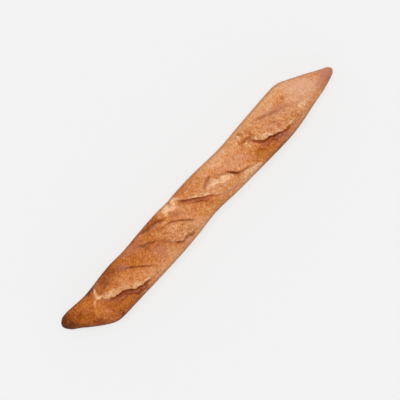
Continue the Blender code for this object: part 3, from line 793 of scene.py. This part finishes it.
def mix_colour(tree, under, over, amount, way="MIX"):
    """Lays the colour over on the colour under, by amount."""
    node = tree.nodes.new("ShaderNodeMix")
    node.data_type = "RGBA"
    node.blend_type = way
    node.clamp_result = True
    for key, value in ((0, amount), (6, under), (7, over)):
        plug(tree, value, node.inputs[key])
    return node.outputs[2]


crust = bpy.data.materials.new("crust")
crust.use_nodes = True
tree = crust.node_tree
surface = tree.nodes["Principled BSDF"]
tree.nodes.new("ShaderNodeTexCoord").name = "place"
broad = speckle(tree, 45.0, 3.0, 0.6)
mottle = speckle(tree, 230.0, 4.0, 0.65)
fine = speckle(tree, 480.0, 3.0, 0.6)
crumbs = speckle(tree, 330.0, 3.0, 0.55)
tint = speckle(tree, 70.0, 3.0, 0.6)
streaks = speckle(tree, 520.0, 2.0, 0.5, (2.4, 1.0, 1.4), 62.0)
crumb_value, pale_value, painted_relief_light_value = (read_value(tree, name) for name in ("crumb", "pale", "grain"))
recess_value, painted_recess_shade_value, painted_crease_shade_value = (read_value(tree, name) for name in ("recess", "painted_recess_shade", "crease"))
rosy_value, gold_value = read_value(tree, "rosy"), read_value(tree, "gold")
sole_value, painted_rim_shade_value = read_value(tree, "sole"), read_value(tree, "painted_rim_shade")

# The bake is uneven, and evens out where it is darkest.
toast_value = read_value(tree, "toast")
patchiness = calculate(tree, "MULTIPLY", mottle, 0.26)
patchiness = calculate(tree, "MULTIPLY_ADD", crumbs, 0.12, patchiness)
patchiness = calculate(tree, "MULTIPLY_ADD", streaks, -0.16, patchiness)
patchiness = calculate(tree, "SUBTRACT", patchiness, 0.11)
unevenness = calculate(tree, "MULTIPLY_ADD", limit(tree, toast_value, 0.95, 0.45), 0.85, 0.15)
bake = calculate(tree, "MULTIPLY_ADD", patchiness, unevenness, toast_value)
bake = calculate(tree, "MINIMUM", bake, calculate(tree, "ADD", toast_value, 0.12))
bake = calculate(tree, "MULTIPLY_ADD", calculate(tree, "SUBTRACT", broad, 0.5), 0.10, bake)
baked = ramp(tree, bake, [
    (0.06, shade(237, 188, 148)), (0.20, shade(227, 166, 120)), (0.34, shade(215, 142, 88)),
    (0.48, shade(198, 118, 54)), (0.62, shade(181, 97, 28)), (0.75, shade(150, 72, 14)),
    (0.88, shade(110, 50, 10)), (1.00, shade(66, 38, 16)),
])

# Rosy and golden tints drift over the crust, less where it is dark.
light = calculate(tree, "MULTIPLY", limit(tree, toast_value, 0.92, 0.55), 0.32)
rosier = calculate(tree, "MULTIPLY", limit(tree, tint, 0.50, 1.0), light)
colour = mix_colour(tree, baked, shade(204, 124, 92), rosier)
golden = calculate(tree, "MULTIPLY", limit(tree, tint, 0.50, 0.0), light)
colour = mix_colour(tree, colour, shade(202, 130, 58), golden)
fleck_share = limit(tree, toast_value, 0.95, 0.45)
flecks = calculate(tree, "MULTIPLY", limit(tree, streaks, 0.70, 1.0), fleck_share)
flecks = calculate(tree, "MULTIPLY", flecks, 0.50)
colour = mix_colour(tree, colour, shade(236, 172, 118), flecks)
# Painted light and shade on the torn crumb: paler on the tops of its relief and darker in its hollows, mixed
# with random speckle.
crumb_speckle_and_relief_light = calculate(tree, "MULTIPLY_ADD", crumbs, 0.5, calculate(tree, "MULTIPLY", painted_relief_light_value, 0.5))
torn_tone_and_relief_light = limit(tree, crumb_speckle_and_relief_light, 0.26, 0.74)
torn = ramp(tree, torn_tone_and_relief_light, [
    (0.05, shade(166, 84, 34)), (0.35, shade(215, 132, 74)), (0.65, shade(236, 156, 99)),
    (0.95, shade(253, 195, 144)),
])
torn = mix_colour(tree, torn, colour, 0.40)
colour = mix_colour(tree, colour, torn, crumb_value)
gold_amount = calculate(tree, "MULTIPLY", gold_value, calculate(tree, "MULTIPLY_ADD", crumbs, 0.6, 0.2))
colour = mix_colour(tree, colour, shade(212, 150, 74), gold_amount)
cream = ramp(tree, torn_tone_and_relief_light, [
    (0.05, shade(214, 150, 106)), (0.40, shade(237, 182, 137)), (0.95, shade(255, 208, 163)),
])
pale_amount = calculate(tree, "MULTIPLY_ADD", calculate(tree, "SUBTRACT", crumbs, 0.5), 0.4, pale_value)
pale_most = calculate(tree, "MINIMUM", pale_value, 0.85)
pale_amount = calculate(tree, "MULTIPLY", limit(tree, pale_amount, 0.15, 0.85), pale_most)
colour = mix_colour(tree, colour, shade(208, 138, 88), limit(tree, pale_amount, 0.0, 0.45))
colour = mix_colour(tree, colour, cream, limit(tree, pale_amount, 0.10, 0.90))
# The recesses take a reddish brown of their own, darkened by the painted shade towards deep brown, with some
# mottling.
recess_shade_tone = calculate(tree, "MULTIPLY_ADD", calculate(tree, "SUBTRACT", mottle, 0.5), 0.3, painted_recess_shade_value)
shaded_recess = ramp(tree, recess_shade_tone, [
    (0.0, shade(198, 116, 70)), (0.30, shade(176, 94, 48)), (0.60, shade(146, 70, 30)),
    (0.95, shade(100, 44, 16)),
])
colour = mix_colour(tree, colour, shaded_recess, recess_value)
# Painted shade in the creases that the bursts rise from: a darker brown along each groove, broken by
# mottling.
painted_crease_shade_cover = calculate(tree, "MULTIPLY_ADD", mottle, -0.4, 0.75)
painted_crease_shade_amount = calculate(tree, "MULTIPLY", painted_crease_shade_value, painted_crease_shade_cover)
colour = mix_colour(tree, colour, shade(146, 74, 28), painted_crease_shade_amount)
colour = mix_colour(tree, colour, shade(196, 136, 118), calculate(tree, "MULTIPLY", rosy_value, 0.65))

# Painted shade greys the flanks near the widest line where the crust is pale, and a dusting of flour
# clings to the sole.
painted_rim_shade_amount = calculate(tree, "MULTIPLY", painted_rim_shade_value, limit(tree, toast_value, 0.80, 0.40))
colour = mix_colour(tree, colour, shade(174, 136, 104), calculate(tree, "MULTIPLY", painted_rim_shade_amount, 0.50))
flour_amount = calculate(tree, "MULTIPLY", calculate(tree, "MULTIPLY", mottle, broad), sole_value)
colour = mix_colour(tree, colour, shade(226, 204, 176), calculate(tree, "MULTIPLY", flour_amount, 0.8))
speckled = ramp(tree, fine, [
    (0.0, (0.70, 0.66, 0.62, 1.0)), (0.5, (0.94, 0.93, 0.92, 1.0)), (1.0, (1.0, 1.0, 1.0, 1.0)),
])
speckled_amount = calculate(tree, "MULTIPLY_ADD", crumb_value, 0.30, 0.70)
colour = mix_colour(tree, colour, speckled, speckled_amount, "MULTIPLY")
tree.links.new(colour, surface.inputs["Base Color"])

roughness = calculate(tree, "MULTIPLY_ADD", crumb_value, 0.25, 0.50)
roughness = calculate(tree, "MULTIPLY_ADD", fine, 0.10, roughness)
tree.links.new(roughness, surface.inputs["Roughness"])
surface.inputs["Specular IOR Level"].default_value = 0.06
bump = tree.nodes.new("ShaderNodeBump")
bump.inputs["Distance"].default_value = 0.0009
bump.inputs["Strength"].default_value = 0.8
grit = calculate(tree, "MULTIPLY_ADD", fine, 0.5, calculate(tree, "MULTIPLY", mottle, 0.6))
grit = calculate(tree, "MULTIPLY_ADD", calculate(tree, "MULTIPLY", crumbs, crumb_value), 1.3, grit)
tree.links.new(grit, bump.inputs["Height"])
tree.links.new(bump.outputs["Normal"], surface.inputs["Normal"])
loaf_mesh.materials.append(crust)
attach(loaf, "root")
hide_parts("baguette")

# ----------------------------------------------------------------------------------------------
# The studio: a sheet of plain pale paper that curves up all round, on which the loaf lies. A bright
# sky and one broad soft sun light it, and the camera looks straight down from above.
# ----------------------------------------------------------------------------------------------
PAPER_GREY = 0.20
PAPER_GLOW = 0.66
SKY_STRENGTH = 0.42
SUN_STRENGTH = 1.90
SUN_WIDTH = math.radians(40.0)
FLOOR_RADIUS = 3.2
COVE_RADIUS = 1.6
WALL_TOP = 3.5
SIDES = 96
profile = [(0.0, 0.0), (FLOOR_RADIUS, 0.0)]
for k in range(1, 13):
    angle = math.pi / 2 * k / 12
    profile.append((FLOOR_RADIUS + COVE_RADIUS * math.sin(angle), COVE_RADIUS * (1.0 - math.cos(angle))))
profile.append((FLOOR_RADIUS + COVE_RADIUS, WALL_TOP))
floor_points, floor_faces = [(0.0, 0.0, low.z)], []
for radius, rise in profile[1:]:
    for k in range(SIDES):
        angle = math.tau * k / SIDES
        floor_points.append((radius * math.cos(angle), radius * math.sin(angle), low.z + rise))
for k in range(SIDES):
    floor_faces.append((0, 1 + k, 1 + (k + 1) % SIDES))
for row in range(len(profile) - 2):
    for k in range(SIDES):
        a, b = 1 + row * SIDES + k, 1 + row * SIDES + (k + 1) % SIDES
        floor_faces.append((a, a + SIDES, b + SIDES, b))
floor_mesh = bpy.data.meshes.new("floor")
floor_mesh.from_pydata(floor_points, [], floor_faces)
floor_mesh.shade_smooth()
floor = bpy.data.objects.new("floor", floor_mesh)
bpy.context.collection.objects.link(floor)
paper = bpy.data.materials.new("floor_paper")
paper.use_nodes = True
paper_surface = paper.node_tree.nodes["Principled BSDF"]
paper_surface.inputs["Base Color"].default_value = (PAPER_GREY, PAPER_GREY, PAPER_GREY, 1.0)
paper_surface.inputs["Roughness"].default_value = 1.0
paper_surface.inputs["Specular IOR Level"].default_value = 0.0
paper_surface.inputs["Emission Color"].default_value = (1.0, 1.0, 1.0, 1.0)
paper_surface.inputs["Emission Strength"].default_value = PAPER_GLOW
floor_mesh.materials.append(paper)

world = bpy.data.worlds.new("studio")
world.use_nodes = True
world.node_tree.nodes["Background"].inputs["Color"].default_value = (1.0, 1.0, 1.0, 1.0)
world.node_tree.nodes["Background"].inputs["Strength"].default_value = SKY_STRENGTH
bpy.context.scene.world = world

key = bpy.data.lights.new("key", "SUN")
key.energy = SUN_STRENGTH
key.angle = SUN_WIDTH
key_lamp = bpy.data.objects.new("key", key)
key_lamp.rotation_euler = (math.radians(-6.0), 0.0, 0.0)
bpy.context.collection.objects.link(key_lamp)

CAMERA_HEIGHT = 2.2
CAMERA_SHIFT = (0.0, -0.0003, 0.02)
SENSOR_WIDTH = 36.0
VIEW_WIDTH = 0.5874
LOAF_TURN = math.radians(-46.71)
lens = bpy.data.cameras.new("camera")
lens.sensor_width = SENSOR_WIDTH
lens.lens = lens.sensor_width * CAMERA_HEIGHT / VIEW_WIDTH
camera = bpy.data.objects.new("camera", lens)
camera.location = (CAMERA_SHIFT[0], CAMERA_SHIFT[1], low.z + CAMERA_HEIGHT + CAMERA_SHIFT[2])
camera.rotation_euler = (0.0, 0.0, LOAF_TURN)
bpy.context.collection.objects.link(camera)
bpy.context.scene.camera = camera
bpy.context.scene.view_settings.view_transform = "Standard"
